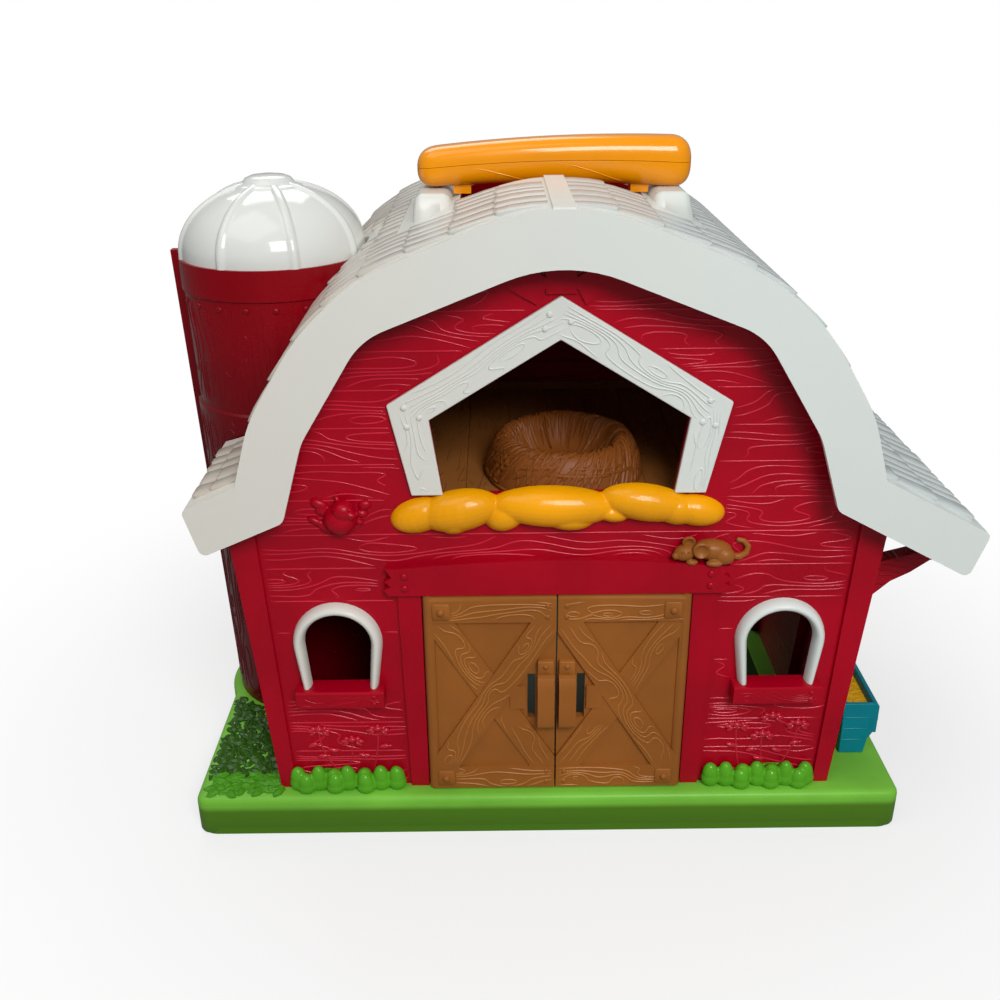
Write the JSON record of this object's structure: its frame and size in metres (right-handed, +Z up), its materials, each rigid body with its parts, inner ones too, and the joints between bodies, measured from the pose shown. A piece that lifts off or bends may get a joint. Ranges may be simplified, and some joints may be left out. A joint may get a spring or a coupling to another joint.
{
  "type": "toy barn with opening doors",
  "caption": "Carry-along toy barn with two hinged doors, a silo, a hay loft with a nest and a feed trough.",
  "frame": {"origin": "middle of the whole footprint on the ground", "axes": "+X to the right seen from the door side, +Y from the doors to the back, +Z up"},
  "size_m": [0.3571, 0.23, 0.3058],
  "materials": {
    "red_plastic": "satin",
    "white_plastic": "gloss",
    "green_plastic": "satin",
    "brown_plastic": "satin",
    "orange_plastic": "gloss",
    "yellow_plastic": "gloss",
    "teal_plastic": "gloss",
    "steel": "satin"
  },
  "bodies": {
    "barn": {"base": "green_plastic", "hedge_left": "green_plastic", "hedge_right": "green_plastic", "front_shell": "red_plastic", "back_shell": "red_plastic", "silo_front": "red_plastic", "silo_back": "red_plastic", "silo_dome": "white_plastic", "roof": "white_plastic", "finger_well": "red_plastic", "handle_top": "orange_plastic", "handle_bottom": "orange_plastic", "loft_floor": "brown_plastic", "nest": "brown_plastic", "loft_window_frame": "white_plastic", "hay_roll": "yellow_plastic", "window_frame_left": "white_plastic", "window_frame_right": "white_plastic", "mouse": "brown_plastic", "trough": "teal_plastic", "trough_feed": "yellow_plastic", "base_screws": "steel", "roof_screws": "steel", "handle_screws": "steel"},
    "left_door": {"door_left": "brown_plastic"},
    "right_door": {"door_right": "brown_plastic"}
  },
  "joints": [
    {"name": "left_door_hinge", "type": "hinge", "parent": "barn", "child": "left_door", "pos_m": [-0.0565, -0.1018, 0.021], "axis": [0, 0, -1], "range_deg": [0, 110]},
    {"name": "right_door_hinge", "type": "hinge", "parent": "barn", "child": "right_door", "pos_m": [0.0565, -0.1018, 0.021], "axis": [0, 0, 1], "range_deg": [0, 110]}
  ]
}
